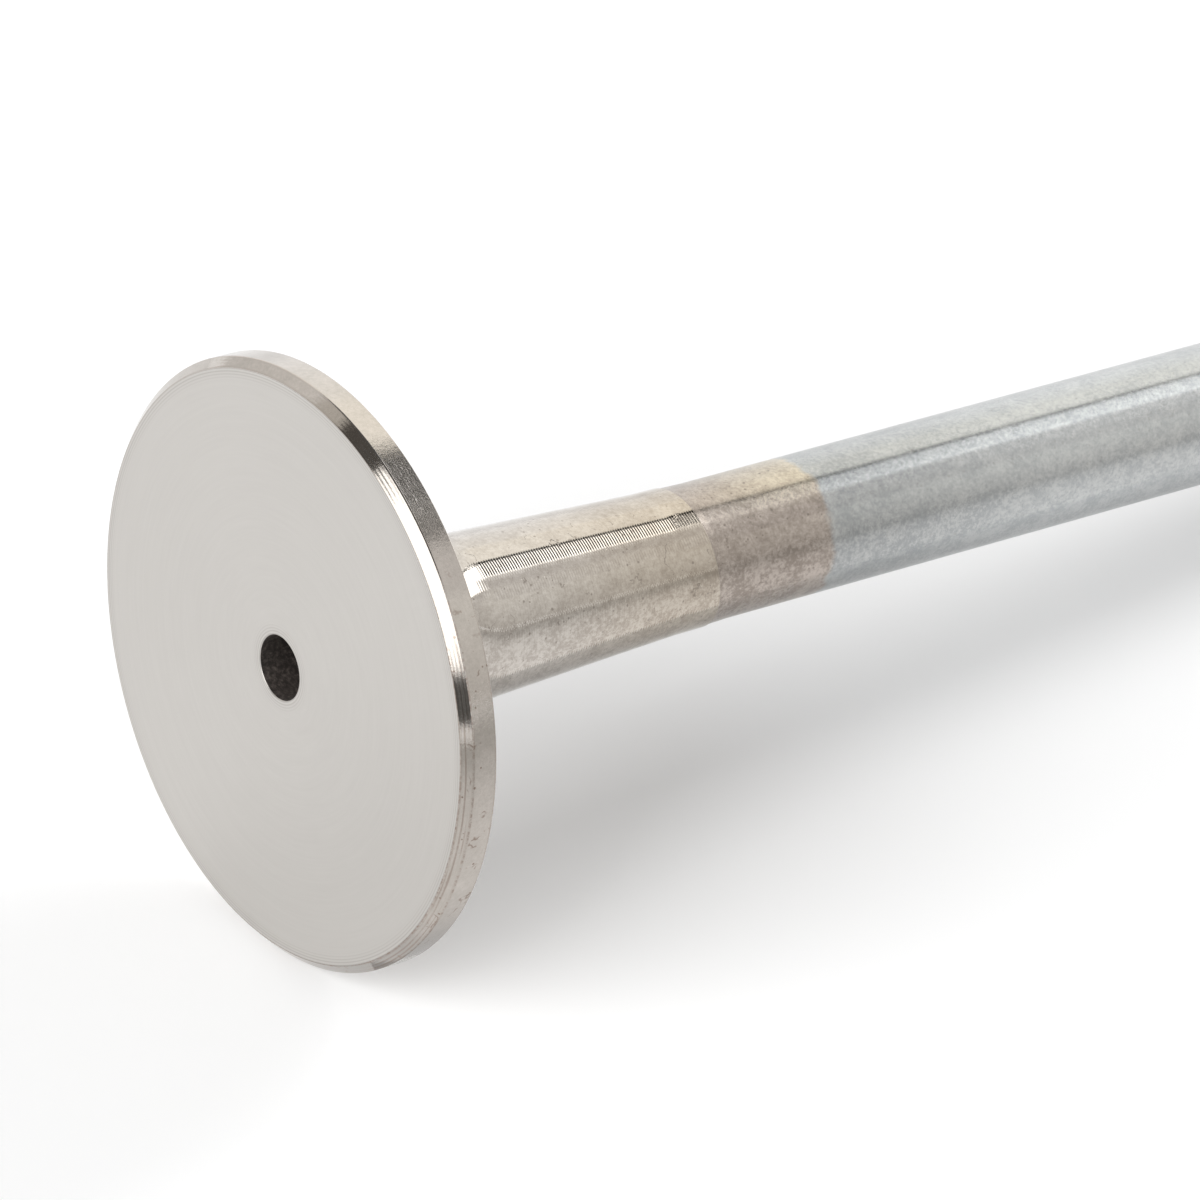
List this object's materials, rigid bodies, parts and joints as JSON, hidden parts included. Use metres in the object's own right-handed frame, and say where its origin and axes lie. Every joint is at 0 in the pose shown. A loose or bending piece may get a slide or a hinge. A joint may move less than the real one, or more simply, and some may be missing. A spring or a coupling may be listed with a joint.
{
  "type": "engine valve",
  "caption": "Poppet valve with a flat round head, bevelled seat, filleted tapered neck and a long ground stem with a keeper groove.",
  "frame": {"origin": "centre of the flat combustion face, on which the valve stands", "axes": "+Z along the valve's axis, from the face to the tip; X and Y are any two directions across the face"},
  "size_m": [0.052, 0.052, 0.16],
  "materials": {
    "head_steel": "fine-turned face and neck, satin",
    "stem_steel": "ground, satin"
  },
  "bodies": {
    "root": {"valve_head": "head_steel", "valve_stem": "stem_steel"}
  },
  "joints": []
}
